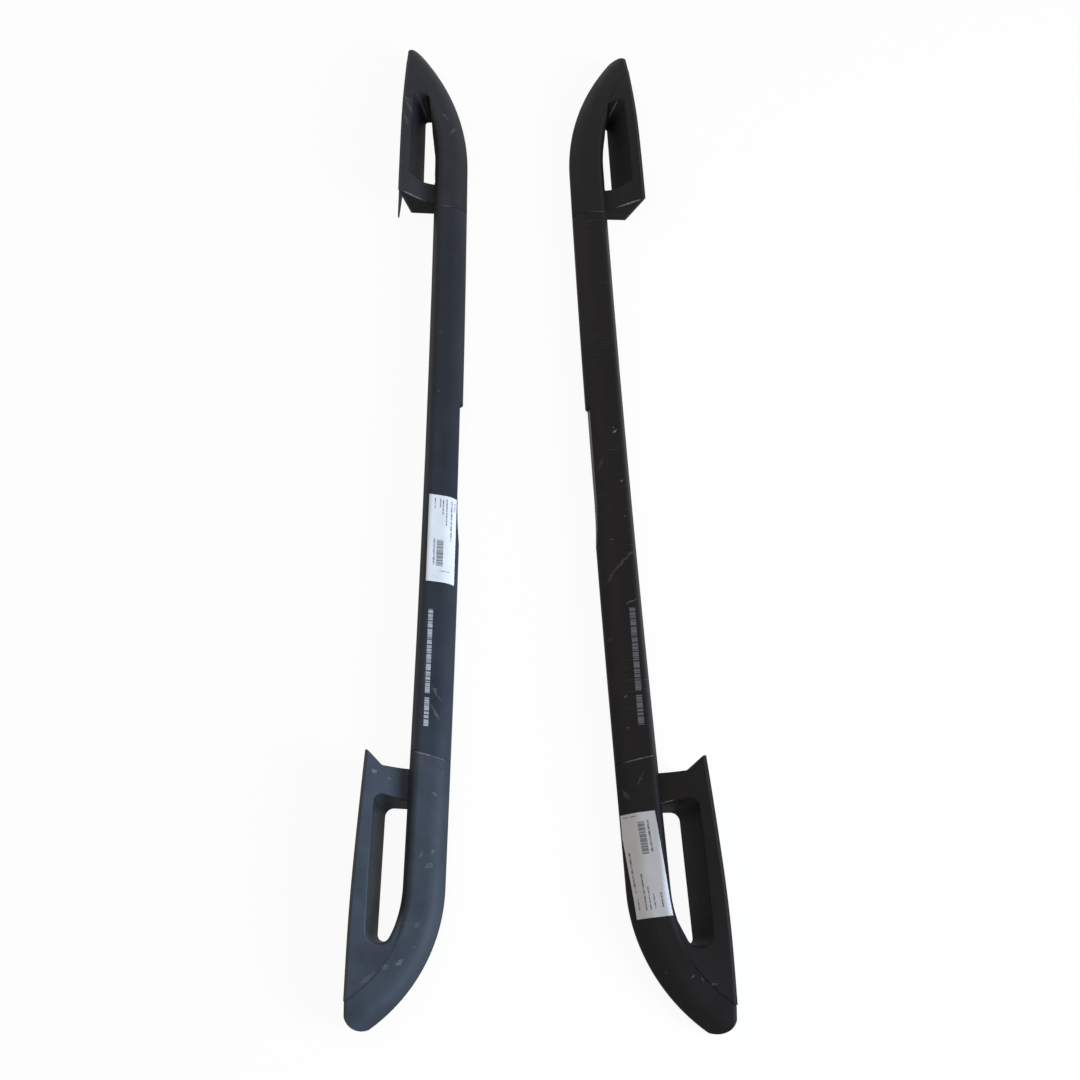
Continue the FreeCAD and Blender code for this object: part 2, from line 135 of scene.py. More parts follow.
# Print on the labels, as plain dashes and bars: the sheet's front left corner in millimetres and its turn
# in degrees, then the rows of dashes and the block of bars, each from and to across, from and to along
LEFT_LABEL_CORNER = (-107.7, -54.6)
LEFT_LABEL_TURN = -1.46
LEFT_LABEL_ROWS = [
    (6.2, 7.4, 4, 17), (12.0, 13.2, 4, 15), (15.0, 16.2, 5, 23), (19.0, 20.4, 4, 35),
    (24.2, 25.8, 5, 52), (28.0, 29.0, 6, 16), (6.4, 8.2, 52, 82), (14.0, 25.0, 88, 88.8)]
LEFT_LABEL_BARS = (9.9, 17.2, 53, 83)
RIGHT_LABEL_CORNER = (80.4, -395.5)
RIGHT_LABEL_TURN = 5.96
RIGHT_LABEL_ROWS = [
    (2.2, 3.2, 34, 77), (5.4, 6.8, 37, 75), (2.6, 3.6, 81, 93), (6.4, 7.4, 80, 91),
    (12.4, 13.6, 58, 92), (16.4, 17.6, 70, 92), (20.6, 21.8, 77, 91), (27.4, 28.8, 77, 91),
    (25.8, 27.6, 8, 39), (6.0, 17.0, 2.8, 3.6)]
RIGHT_LABEL_BARS = (17.2, 23.6, 9, 40)
# Lamps: name, place and aim in metres, side in metres, power in watts and colour
LAMPS = [
    ("window_lamp", (1.85, -0.85, 0.6), (-0.1, -0.3, 0), 1.2, 66, "d6e4fb"),
    ("room_lamp", (-1.6, 0.7, 1.8), (0.1, 0, 0), 2.0, 14, "ffe8d4"),
]
WORLD_LIGHT = 0.26       # strength of the daylight on the pair
WORLD_SEEN = 1.0         # strength at which the world is white
FLOOR_GLOW = 1.08        # strength of the floor's own white
FLOOR_GLOW_SHARE = 0.86  # the rest of the floor shows shadow
SENSOR_WIDTH = 36.0      # of the camera, in millimetres


def linear(hex_colour):
    """An sRGB hex colour as the linear values that Blender's colours hold."""
    channels = [int(hex_colour[i:i + 2], 16) / 255 for i in (0, 2, 4)]
    return tuple(c / 12.92 if c <= 0.04045 else ((c + 0.055) / 1.055) ** 2.4 for c in channels)


class RailFinishes(bpy.types.PropertyGroup):
    """Colours and grain of the rails' own surfaces; the lighter rear of the left rail and the scuff colour
    also carry painted light.
    """
    left_bar_front: bpy.props.FloatVectorProperty(
        name="Left bar, front", description="Coat of the left bar at its front end",
        subtype="COLOR", size=3, min=0, max=1, default=linear("292c32"))
    # Lighter than the front partly from chalking, partly as painted light that falls on the rear end
    left_bar_rear_chalked_and_lit: bpy.props.FloatVectorProperty(
        name="Left bar, rear", description="Coat of the left bar at its rear end, chalked to a cool grey",
        subtype="COLOR", size=3, min=0, max=1, default=linear("333a43"))
    right_bar: bpy.props.FloatVectorProperty(
        name="Right bar", description="Coat of the right bar, a warmer black",
        subtype="COLOR", size=3, min=0, max=1, default=linear("1b191a"))
    left_front_foot: bpy.props.FloatVectorProperty(
        name="Left front foot", description="Moulded foot, little weathered",
        subtype="COLOR", size=3, min=0, max=1, default=linear("2b2d31"))
    # Lighter than the front foot partly from weather, partly as painted light on the rear end
    left_rear_foot: bpy.props.FloatVectorProperty(
        name="Left rear foot", description="Moulded foot, greyed by weather",
        subtype="COLOR", size=3, min=0, max=1, default=linear("3c444d"))
    right_foot: bpy.props.FloatVectorProperty(
        name="Right feet", description="Moulded feet of the right rail",
        subtype="COLOR", size=3, min=0, max=1, default=linear("1d1c1d"))
    # Also the colour of the painted glints along the feet's edges
    scuff: bpy.props.FloatVectorProperty(
        name="Scuffs", description="Pale dust in scratches and chips",
        subtype="COLOR", size=3, min=0, max=1, default=linear("929496"))
    wall_mark_colour: bpy.props.FloatVectorProperty(
        name="Scrapes", description="Dark scrapes on the left rear foot",
        subtype="COLOR", size=3, min=0, max=1, default=linear("0c0c0d"))
    bar_print: bpy.props.FloatVectorProperty(
        name="Bar print", description="Pale ink of the strokes along the bars",
        subtype="COLOR", size=3, min=0, max=1, default=linear("c3c8cf"))
    gasket: bpy.props.FloatVectorProperty(
        name="Gaskets", description="Rubber under the soles",
        subtype="COLOR", size=3, min=0, max=1, default=linear("1b1b1d"))
    brass: bpy.props.FloatVectorProperty(
        name="Inserts", description="Brass of the threaded inserts",
        subtype="COLOR", size=3, min=0, max=1, default=linear("c29a55"))
    steel: bpy.props.FloatVectorProperty(
        name="Screws", description="Plated steel of the joint screws",
        subtype="COLOR", size=3, min=0, max=1, default=linear("a8a9a6"))
    left_paper: bpy.props.FloatVectorProperty(
        name="Left label", description="Coated white paper",
        subtype="COLOR", size=3, min=0, max=1, default=linear("f1f8fc"))
    right_paper: bpy.props.FloatVectorProperty(
        name="Right label", description="Coated white paper, dulled by handling",
        subtype="COLOR", size=3, min=0, max=1, default=linear("dcdfe2"))
    ink: bpy.props.FloatVectorProperty(
        name="Label print", description="Grey heat print on the labels",
        subtype="COLOR", size=3, min=0, max=1, default=linear("4a4d52"))
    grain: bpy.props.FloatProperty(
        name="Grain", description="Width of the grains in the moulded feet",
        unit="LENGTH", min=0.0002, max=0.01, default=0.0016)


class RailStage(bpy.types.PropertyGroup):
    """Camera and floor."""
    camera_place: bpy.props.FloatVectorProperty(
        name="Camera place", description="Where the camera stands, from the pair's middle",
        subtype="TRANSLATION", unit="LENGTH", size=3, default=(-0.1341, -0.5620, 1.011))
    camera_pitch: bpy.props.FloatProperty(
        name="Pitch", description="How far the camera looks below the horizon",
        subtype="ANGLE", default=math.radians(69.9))
    camera_roll: bpy.props.FloatProperty(
        name="Roll", description="How far the camera is tipped sideways",
        subtype="ANGLE", default=math.radians(6.45))
    camera_heading: bpy.props.FloatProperty(
        name="Heading", description="Which way the camera looks, clockwise from the rails' length",
        subtype="ANGLE", default=math.radians(5.565))
    focal_length: bpy.props.FloatProperty(
        name="Focal length", description="On a sensor 36 mm wide",
        unit="CAMERA", default=33.93)
    shift: bpy.props.FloatVectorProperty(
        name="Shift", description="How far the frame lies off the lens's axis, in frame widths",
        size=2, default=(0.0963, 0.0778))
    floor_size: bpy.props.FloatProperty(
        name="Floor", description="Side of the square floor",
        unit="LENGTH", min=2, max=40, default=14)
    floor_colour: bpy.props.FloatVectorProperty(
        name="Floor colour", description="Pale studio floor",
        subtype="COLOR", size=3, min=0, max=1, default=linear("dadad8"))


def add(tree, kind, inputs=None, **settings):
    """Adds a node, sets what it is told, and links or sets its inputs.

    An input goes by its name or its number. In a Map Range the value is 0, what it comes from is 1 and 2,
    and what it goes to is 3 and 4.
    """
    node = tree.nodes.new(kind)
    for name, value in settings.items():
        setattr(node, name, value)
    for socket, value in (inputs or {}).items():
        if isinstance(value, bpy.types.NodeSocket):
            tree.links.new(value, node.inputs[socket])
        else:
            node.inputs[socket].default_value = value
    return node


def new_surface(name):
    """A new material with its tree, its shader and the place on the piece in millimetres."""
    material = bpy.data.materials.new(name)
    material.use_nodes = True
    tree = material.node_tree
    shader = tree.nodes["Principled BSDF"]
    here = add(tree, "ShaderNodeTexCoord")
    place = add(tree, "ShaderNodeVectorMath", {
        0: here.outputs["Object"], "Scale": MM_PER_M}, operation="SCALE")
    return material, tree, shader, place.outputs[0]


def flat_marks(wear):
    """Middle, turn, half sizes and strength of each patch on the side that faces up."""
    return [
        ((x, y, z), (0, 0, math.radians(turn)), (half_length, half_width, MARK_DEPTH), strength)
        for x, y, z, half_length, half_width, turn, strength in wear]


def glint_lines(glints):
    """Middle, turn, half sizes and strength of each painted glint, a line along an edge."""
    marks = []
    for start, end, half_width, half_depth, strength in glints:
        run = Vector(end) - Vector(start)
        middle = Vector(start) + run / 2
        turn = run.to_track_quat("X", "Z").to_euler()
        marks.append((middle, turn, (run.length / 2, half_width, half_depth), strength))
    return marks


def marked_patches(tree, place, marks, wavering):
    """How strongly each place is marked, for wear, painted glints and dark marks alike: thin patches at the
    marks, pulled out of shape and frayed by noise.
    """
    wander = add(tree, "ShaderNodeTexNoise", {"Vector": place, "Scale": 0.28, "Detail": 3.0})
    wander = add(tree, "ShaderNodeVectorMath", {
        0: wander.outputs["Color"], 1: (0.5, 0.5, 0.5)}, operation="SUBTRACT")
    ragged = add(tree, "ShaderNodeVectorMath", {
        0: wander.outputs[0], 1: (wavering, wavering, 0), 2: place}, operation="MULTIPLY_ADD")
    patches = []
    for middle, turn, half_sizes, strength in marks:
        local = add(tree, "ShaderNodeMapping", {
            "Vector": ragged.outputs[0], "Location": middle, "Rotation": turn,
            "Scale": half_sizes}, vector_type="TEXTURE")
        spot = add(tree, "ShaderNodeTexGradient", {"Vector": local.outputs[0]}, gradient_type="SPHERICAL")
        mark = add(tree, "ShaderNodeMath", {
            0: spot.outputs["Fac"], 1: MARK_STEEPNESS}, operation="MULTIPLY", use_clamp=True)
        mark = add(tree, "ShaderNodeMath", {0: mark.outputs[0], 1: strength}, operation="MULTIPLY")
        patches.append(mark.outputs[0])
    worn = lay_over(tree, *patches)
    fray = add(tree, "ShaderNodeTexNoise", {"Vector": place, "Scale": 0.7, "Detail": 3.0})
    fray = add(tree, "ShaderNodeMapRange", {0: fray.outputs["Fac"], 1: 0.36, 2: 0.56, 3: 0.15, 4: 1.0})
    frayed = add(tree, "ShaderNodeMath", {0: worn, 1: fray.outputs[0]}, operation="MULTIPLY")
    return frayed.outputs[0]


def fine_scratches(tree, place, turn, spacing, strength):
    """Hair scratches that run one way: noise drawn out along the scratch, and only its crests."""
    # About 45 times as long as wide
    along = add(tree, "ShaderNodeMapping", {
        "Vector": place, "Rotation": (0, 0, math.radians(turn)),
        "Scale": (0.035 / spacing, 1.6 / spacing, 0.1)})
    hairs = add(tree, "ShaderNodeTexNoise", {"Vector": along.outputs[0], "Scale": 1.0, "Detail": 2.0})
    crests = add(tree, "ShaderNodeMapRange", {
        0: hairs.outputs["Fac"], 1: 0.66, 2: 0.74, 3: 0.0, 4: strength})
    where = add(tree, "ShaderNodeTexNoise", {"Vector": place, "Scale": 0.021, "Detail": 2.0})
    where = add(tree, "ShaderNodeMapRange", {0: where.outputs["Fac"], 1: 0.48, 2: 0.66, 3: 0.0, 4: 1.0})
    kept = add(tree, "ShaderNodeMath", {0: crests.outputs[0], 1: where.outputs[0]}, operation="MULTIPLY")
    return kept.outputs[0]


def dust_specks(tree, place, spacing, share, strength):
    """Small pale specks, in only a share of the cells of a jittered grid."""
    cells = add(tree, "ShaderNodeTexVoronoi", {"Vector": place, "Scale": 1.0 / spacing})
    chosen = add(tree, "ShaderNodeSeparateColor", {0: cells.outputs["Color"]})
    chosen = add(tree, "ShaderNodeMath", {0: chosen.outputs[0], 1: share}, operation="LESS_THAN")
    dot = add(tree, "ShaderNodeMapRange", {
        0: cells.outputs["Distance"], 1: 0.03, 2: 0.075, 3: strength, 4: 0.0})
    kept = add(tree, "ShaderNodeMath", {0: dot.outputs[0], 1: chosen.outputs[0]}, operation="MULTIPLY")
    return kept.outputs[0]


def printed_strip(tree, place, start, end, height, left_over):
    """A line of print as uneven strokes with gaps between them, which spells nothing."""
    run = Vector(end) - Vector(start)
    line = add(tree, "ShaderNodeMapping", {
        "Vector": place, "Location": (*start, 0),
        "Rotation": (0, 0, math.atan2(run.y, run.x))}, vector_type="TEXTURE")
    axes = add(tree, "ShaderNodeSeparateXYZ", {0: line.outputs[0]})
    along = add(tree, "ShaderNodeMath", {
        0: axes.outputs[0], 1: run.length / 2, 2: run.length / 2}, operation="COMPARE")
    across = add(tree, "ShaderNodeMath", {0: axes.outputs[1], 1: 0.0, 2: height / 2}, operation="COMPARE")
    ink = along
    for per_mm, start_of_ink, full_ink, least in PRINT_RHYTHM:
        strokes = add(tree, "ShaderNodeMapping", {"Vector": line.outputs[0], "Scale": (per_mm, 0, 0)})
        strokes = add(tree, "ShaderNodeTexNoise", {
            "Vector": strokes.outputs[0], "Scale": 1.0, "Detail": 1.0})
        strokes = add(tree, "ShaderNodeMapRange", {
            0: strokes.outputs["Fac"], 1: start_of_ink, 2: full_ink, 3: least, 4: 1.0})
        ink = add(tree, "ShaderNodeMath", {0: ink.outputs[0], 1: strokes.outputs[0]}, operation="MULTIPLY")
    ink = add(tree, "ShaderNodeMath", {0: ink.outputs[0], 1: across.outputs[0]}, operation="MULTIPLY")
    ink = add(tree, "ShaderNodeMath", {0: ink.outputs[0], 1: left_over}, operation="MULTIPLY")
    return ink.outputs[0]


def lay_over(tree, *masks):
    """The strongest of several masks."""
    top = masks[0]
    for mask in masks[1:]:
        top = add(tree, "ShaderNodeMath", {0: top, 1: mask}, operation="MAXIMUM").outputs[0]
    return top


def clouded(tree, place, colour, size, darkest, lightest):
    """A colour that drifts between a darker and a lighter tone over a given distance."""
    drift = add(tree, "ShaderNodeTexNoise", {
        "Vector": place, "Scale": 1.0 / size, "Detail": 4.0, "Roughness": 0.6})
    tone = add(tree, "ShaderNodeMapRange", {
        0: drift.outputs["Fac"], 1: NOISE_LOW, 2: NOISE_HIGH, 3: darkest, 4: lightest})
    shade = add(tree, "ShaderNodeVectorMath", {0: colour, "Scale": tone.outputs[0]}, operation="SCALE")
    return shade.outputs[0], drift.outputs["Fac"]


def coated_aluminium(name, look, front, rear, wear, hair, strip):
    """Powder-coated aluminium tube: a satin black skin with a faint orange peel.

    The eye sees a soft, even sheen along the bar, hair scratches and a few pale chips. Towards the rear the
    left coat grows lighter, partly from chalking and partly as painted light.
    """
    material, tree, shader, place = new_surface(name)
    length = add(tree, "ShaderNodeSeparateXYZ", {0: place})
    # Lighter and cooler towards the rear: partly chalking, partly painted light
    chalk_and_painted_light = add(tree, "ShaderNodeMapRange", {0: length.outputs[1], 1: CHALK_AND_LIGHT_START_Y, 2: REAR_SEAM_Y})
    coat = add(tree, "ShaderNodeMix", {
        "Factor": chalk_and_painted_light.outputs[0], "A": (*front, 1), "B": (*rear, 1)}, data_type="RGBA")
    tone, drift = clouded(tree, place, coat.outputs["Result"], size=55.0, darkest=0.82, lightest=1.2)
    worn = lay_over(
        tree, marked_patches(tree, place, flat_marks(wear), FRAYING),
        fine_scratches(tree, place, turn=63, spacing=2.2, strength=hair),
        fine_scratches(tree, place, turn=-28, spacing=2.8, strength=hair * 0.8),
        dust_specks(tree, place, spacing=17.0, share=0.22, strength=0.35))
    skin = add(tree, "ShaderNodeMix", {"Factor": worn, "A": tone, "B": (*look.scuff, 1)}, data_type="RGBA")
    ink = printed_strip(tree, place, *strip)
    skin = add(tree, "ShaderNodeMix", {
        "Factor": ink, "A": skin.outputs["Result"], "B": (*look.bar_print, 1)}, data_type="RGBA")
    # Orange peel of about 2 mm, drawn a little coarser than real so that it shows
    peel = add(tree, "ShaderNodeTexNoise", {"Vector": place, "Scale": 0.5, "Detail": 2.0})
    bump = add(tree, "ShaderNodeBump", {
        "Strength": 0.10, "Distance": 0.0003, "Height": peel.outputs["Fac"]})
    rough = add(tree, "ShaderNodeMapRange", {0: drift, 1: NOISE_LOW, 2: NOISE_HIGH, 3: 0.40, 4: 0.52})
    rough = add(tree, "ShaderNodeMath", {0: rough.outputs[0], 1: worn}, operation="ADD", use_clamp=True)
    shader.inputs["Specular IOR Level"].default_value = SATIN_GLOSS
    tree.links.new(skin.outputs["Result"], shader.inputs["Base Color"])
    tree.links.new(rough.outputs[0], shader.inputs["Roughness"])
    tree.links.new(bump.outputs[0], shader.inputs["Normal"])
    return material


def moulded_nylon(name, look, colour, wear, glints, wall_marks, ring):
    """Glass-filled nylon from an etched mould: a dull, grained black that greys as it weathers.

    The eye sees a matte bloom, a fine leathery grain, and pale rubs where it was handled. Faces that look
    up are made lighter and walls darker as painted light and shade, and pale painted glints run along some
    edges.
    """
    material, tree, shader, place = new_surface(name)
    tone, drift = clouded(tree, place, tuple(colour), size=38.0, darkest=0.80, lightest=1.28)
    worn = lay_over(
        tree, marked_patches(tree, place, flat_marks(wear), FRAYING),
        # Painted glints: pale lines along heels, window ends, seams and a bridge, standing for highlights
        marked_patches(tree, place, glint_lines(glints), 0),
        fine_scratches(tree, place, turn=40, spacing=3.0, strength=0.10),
        dust_specks(tree, place, spacing=13.0, share=0.25, strength=0.30))
    # Painted light and shade: faces that look up are made lighter and the walls much darker, as light falls
    # on them
    facing_for_painted_shade = add(tree, "ShaderNodeTexCoord")
    facing_for_painted_shade = add(tree, "ShaderNodeSeparateXYZ", {0: facing_for_painted_shade.outputs["Normal"]})
    bloom = add(tree, "ShaderNodeMapRange", {0: facing_for_painted_shade.outputs[2], 1: 0.4, 2: 0.85, 3: 0.30, 4: 1.12})
    tone = add(tree, "ShaderNodeVectorMath", {0: tone, "Scale": bloom.outputs[0]}, operation="SCALE")
    # Wear and the painted glints both take the scuff colour
    skin = add(tree, "ShaderNodeMix", {
        "Factor": worn, "A": tone.outputs[0], "B": (*look.scuff, 1)}, data_type="RGBA")
    if wall_marks:
        dark = marked_patches(tree, place, flat_marks(wall_marks), FRAYING)
        skin = add(tree, "ShaderNodeMix", {
            "Factor": dark, "A": skin.outputs["Result"], "B": (*look.wall_mark_colour, 1)}, data_type="RGBA")
    grains = add(tree, "ShaderNodeTexVoronoi", {"Vector": place, "Scale": 1 / (look.grain * MM_PER_M)})
    height = grains.outputs["Distance"]
    if ring:
        offset = add(tree, "ShaderNodeVectorMath", {0: place, 1: ring}, operation="DISTANCE")
        on_ring = add(tree, "ShaderNodeMath", {
            0: offset.outputs["Value"], 1: RING_RADIUS, 2: RING_HALF_WIDTH}, operation="COMPARE")
        raised = add(tree, "ShaderNodeMath", {
            0: on_ring.outputs[0], 1: RING_HEIGHT, 2: height}, operation="MULTIPLY_ADD")
        height = raised.outputs[0]
    bump = add(tree, "ShaderNodeBump", {"Strength": 0.22, "Distance": 0.0003, "Height": height})
    rough = add(tree, "ShaderNodeMapRange", {0: drift, 1: NOISE_LOW, 2: NOISE_HIGH, 3: 0.50, 4: 0.64})
    shader.inputs["Specular IOR Level"].default_value = SATIN_GLOSS
    tree.links.new(skin.outputs["Result"], shader.inputs["Base Color"])
    tree.links.new(rough.outputs[0], shader.inputs["Roughness"])
    tree.links.new(bump.outputs[0], shader.inputs["Normal"])
    return material


def extruded_rubber(name, colour, scuff):
    """Extruded EPDM rubber: very dark and dull, with die lines along it and a grey bloom."""
    material, tree, shader, place = new_surface(name)
    tone, drift = clouded(tree, place, colour, size=16.0, darkest=0.75, lightest=1.35)
    bloom = dust_specks(tree, place, spacing=6.0, share=0.3, strength=0.25)
    skin = add(tree, "ShaderNodeMix", {"Factor": bloom, "A": tone, "B": (*scuff, 1)}, data_type="RGBA")
    lines = add(tree, "ShaderNodeMapping", {"Vector": place, "Scale": (1.1, 0.01, 1.1)})
    lines = add(tree, "ShaderNodeTexNoise", {"Vector": lines.outputs[0], "Scale": 1.0, "Detail": 1.0})
    bump = add(tree, "ShaderNodeBump", {
        "Strength": 0.2, "Distance": 0.0002, "Height": lines.outputs["Fac"]})
    rough = add(tree, "ShaderNodeMapRange", {0: drift, 1: NOISE_LOW, 2: NOISE_HIGH, 3: 0.68, 4: 0.86})
    tree.links.new(skin.outputs["Result"], shader.inputs["Base Color"])
    tree.links.new(rough.outputs[0], shader.inputs["Roughness"])
    tree.links.new(bump.outputs[0], shader.inputs["Normal"])
    return material


def turned_metal(name, colour, roughness, pitch, tilt):
    """Turned metal with a fine thread: bright, with fine rings a thread's pitch apart."""
    material, tree, shader, place = new_surface(name)
    tone, drift = clouded(tree, place, colour, size=3.0, darkest=0.85, lightest=1.1)
    axis = add(tree, "ShaderNodeMapping", {"Vector": place, "Rotation": (0, tilt, 0)})
    rings = add(tree, "ShaderNodeTexWave", {
        "Vector": axis.outputs[0], "Scale": 2 * math.pi / (WAVE_TURN * pitch)},
        wave_type="BANDS", bands_direction="X")
    bump = add(tree, "ShaderNodeBump", {
        "Strength": 0.5, "Distance": 0.0004, "Height": rings.outputs["Fac"]})
    rough = add(tree, "ShaderNodeMapRange", {
        0: drift, 1: NOISE_LOW, 2: NOISE_HIGH, 3: roughness, 4: roughness + 0.12})
    shader.inputs["Metallic"].default_value = 1.0
    tree.links.new(tone, shader.inputs["Base Color"])
    tree.links.new(rough.outputs[0], shader.inputs["Roughness"])
    tree.links.new(bump.outputs[0], shader.inputs["Normal"])
    return material


def printed_paper(name, paper, ink, corner, turn, rows, bars):
    """Coated paper with heat print: a cool white sheet with rows of grey dashes and a block of bars.

    Across and along are measured from the label's front left corner, in millimetres.
    """
    material, tree, shader, place = new_surface(name)
    sheet = add(tree, "ShaderNodeMapping", {
        "Vector": place, "Location": (*corner, 0), "Rotation": (0, 0, math.radians(turn)),
        "Scale": (1, -1, 1)}, vector_type="TEXTURE")
    axes = add(tree, "ShaderNodeSeparateXYZ", {0: sheet.outputs[0]})
    # Dashes just under 2 mm long, a little coarser than the real print so that they show
    dashes = add(tree, "ShaderNodeMapping", {"Vector": sheet.outputs[0], "Scale": (0.25, 0.6, 0)})
    dashes = add(tree, "ShaderNodeTexNoise", {"Vector": dashes.outputs[0], "Scale": 1.0, "Detail": 1.0})
    dashes = add(tree, "ShaderNodeMapRange", {0: dashes.outputs["Fac"], 1: 0.42, 2: 0.50, 3: 0.22, 4: 0.85})
    strokes = add(tree, "ShaderNodeMapping", {"Vector": sheet.outputs[0], "Scale": (0, 0.8, 0)})
    strokes = add(tree, "ShaderNodeTexNoise", {"Vector": strokes.outputs[0], "Scale": 1.0, "Detail": 2.0})
    strokes = add(tree, "ShaderNodeMapRange", {
        0: strokes.outputs["Fac"], 1: 0.44, 2: 0.52, 3: 0.25, 4: 0.85})
    fields = []
    for x0, x1, y0, y1, pattern in [(*row, dashes) for row in rows] + [(*bars, strokes)]:
        across = add(tree, "ShaderNodeMath", {
            0: axes.outputs[0], 1: (x0 + x1) / 2, 2: (x1 - x0) / 2}, operation="COMPARE")
        along = add(tree, "ShaderNodeMath", {
            0: axes.outputs[1], 1: (y0 + y1) / 2, 2: (y1 - y0) / 2}, operation="COMPARE")
        field = add(tree, "ShaderNodeMath", {
            0: across.outputs[0], 1: along.outputs[0]}, operation="MULTIPLY")
        field = add(tree, "ShaderNodeMath", {
            0: field.outputs[0], 1: pattern.outputs[0]}, operation="MULTIPLY")
        fields.append(field.outputs[0])
    tone, drift = clouded(tree, place, paper, size=22.0, darkest=0.94, lightest=1.03)
    skin = add(tree, "ShaderNodeMix", {
        "Factor": lay_over(tree, *fields), "A": tone, "B": (*ink, 1)}, data_type="RGBA")
    fibre = add(tree, "ShaderNodeTexNoise", {"Vector": place, "Scale": 0.35, "Detail": 4.0})
    bump = add(tree, "ShaderNodeBump", {
        "Strength": 0.15, "Distance": 0.0003, "Height": fibre.outputs["Fac"]})
    rough = add(tree, "ShaderNodeMapRange", {0: drift, 1: NOISE_LOW, 2: NOISE_HIGH, 3: 0.48, 4: 0.60})
    shader.inputs["Specular IOR Level"].default_value = 0.3
    tree.links.new(skin.outputs["Result"], shader.inputs["Base Color"])
    tree.links.new(rough.outputs[0], shader.inputs["Roughness"])
    tree.links.new(bump.outputs[0], shader.inputs["Normal"])
    return material


def finish_node(node, material):
    """Puts a material on a solid's own slots."""
    if node not in NODES:
        raise RuntimeError("no solid named " + node)
    mesh = NODES[node].data
    mesh.materials.clear()
    mesh.materials.append(material)


class ROOFRAILS_OT_coat_bars(bpy.types.Operator):
    """Coats the two bars"""
    bl_idname = "roof_rails.coat_bars"
    bl_label = "Coat the bars"

    def execute(self, context):
        look = context.scene.rail_finishes
        coats = (
            ("left", look.left_bar_front, look.left_bar_rear_chalked_and_lit, LEFT_BAR_WEAR, LEFT_BAR_HAIR, LEFT_BAR_PRINT),
            ("right", look.right_bar, look.right_bar, RIGHT_BAR_WEAR, RIGHT_BAR_HAIR, RIGHT_BAR_PRINT))
        for side, front, rear, wear, hair, strip in coats:
            material = coated_aluminium(side + "_bar_powder_coat", look, front, rear, wear, hair, strip)
            finish_node(side + "_bar", material)
        return {"FINISHED"}


class ROOFRAILS_OT_grain_feet(bpy.types.Operator):
    """Gives the four moulded feet their grain, wear and painted glints"""
    bl_idname = "roof_rails.grain_feet"
    bl_label = "Grain the feet"

    def execute(self, context):
        look = context.scene.rail_finishes
        feet = (
            ("left_front_foot", look.left_front_foot, LEFT_FOOT_WEAR, LEFT_PAINTED_GLINTS, (), None),
            ("left_rear_foot", look.left_rear_foot, LEFT_FOOT_WEAR, LEFT_PAINTED_GLINTS, DARK_WALL_MARKS, None),
            ("right_front_foot", look.right_foot, RIGHT_FOOT_WEAR, RIGHT_PAINTED_GLINTS, (), None),
            ("right_rear_foot", look.right_foot, RIGHT_FOOT_WEAR, RIGHT_PAINTED_GLINTS, (), EJECTOR_RING))
        for node, colour, wear, glints, wall_marks, ring in feet:
            material = moulded_nylon(node + "_moulded_nylon", look, colour, wear, glints, wall_marks, ring)
            finish_node(node, material)
        return {"FINISHED"}


class ROOFRAILS_OT_lay_gaskets(bpy.types.Operator):
    """Finishes the rubber gaskets under the soles"""
    bl_idname = "roof_rails.lay_gaskets"
    bl_label = "Lay the gaskets"

    def execute(self, context):
        look = context.scene.rail_finishes
        material = extruded_rubber("extruded_epdm_rubber", tuple(look.gasket), tuple(look.scuff))
        for side in ("left", "right"):
            for end in ("front", "rear"):
                finish_node(side + "_" + end + "_gasket", material)
        return {"FINISHED"}


class ROOFRAILS_OT_fit_fasteners(bpy.types.Operator):
    """Finishes the threaded inserts and the joint screws"""
    bl_idname = "roof_rails.fit_fasteners"
    bl_label = "Fit the fasteners"

    def execute(self, context):
        look = context.scene.rail_finishes
        brass = turned_metal(
            "turned_brass", tuple(look.brass), roughness=0.25, pitch=INSERT_PITCH,
            tilt=math.radians(-SOLE_TILT))
        steel = turned_metal(
            "zinc_plated_steel", tuple(look.steel), roughness=0.30, pitch=SCREW_PITCH,
            tilt=math.radians(90))
        for side in ("left", "right"):
            for end in ("front", "rear"):
                finish_node(side + "_" + end + "_inserts", brass)
                finish_node(side + "_" + end + "_joint_screws", steel)
        return {"FINISHED"}


class ROOFRAILS_OT_stick_labels(bpy.types.Operator):
    """Prints the two paper labels with plain strokes"""
    bl_idname = "roof_rails.stick_labels"
    bl_label = "Stick the labels"

    def execute(self, context):
        look = context.scene.rail_finishes
        left = printed_paper(
            "left_label_paper", tuple(look.left_paper), tuple(look.ink),
            LEFT_LABEL_CORNER, LEFT_LABEL_TURN, LEFT_LABEL_ROWS, LEFT_LABEL_BARS)
        right = printed_paper(
            "right_label_paper", tuple(look.right_paper), tuple(look.ink),
            RIGHT_LABEL_CORNER, RIGHT_LABEL_TURN, RIGHT_LABEL_ROWS, RIGHT_LABEL_BARS)
        finish_node("left_label", left)
        finish_node("right_label", right)
        return {"FINISHED"}


class ROOFRAILS_OT_set_stage(bpy.types.Operator):
    """Lays the pale floor, hangs the soft lamps and sets up the camera"""
    bl_idname = "roof_rails.set_stage"
    bl_label = "Set the stage"

    def execute(self, context):
        stage = context.scene.rail_stage
        bpy.ops.object.select_all(action="DESELECT")
        bpy.ops.mesh.primitive_plane_add(size=stage.floor_size, location=(0, 0, 0))
        floor = context.active_object
        floor.name = "studio_floor"
        floor.data.materials.append(studio_paper(tuple(stage.floor_colour)))
        light_world(context.scene)
        for name, place, aim, size, power, colour in LAMPS:
            hang_lamp(name, place, aim, size, power, linear(colour))
        place_camera(context.scene, stage)
        return {"FINISHED"}


def rays_that_see(tree):
    """1 for rays that the camera, gloss and glass send, and 0 for those that only carry light."""
    rays = add(tree, "ShaderNodeLightPath")
    return lay_over(
        tree, rays.outputs["Is Camera Ray"], rays.outputs["Is Glossy Ray"],
        rays.outputs["Is Transmission Ray"])


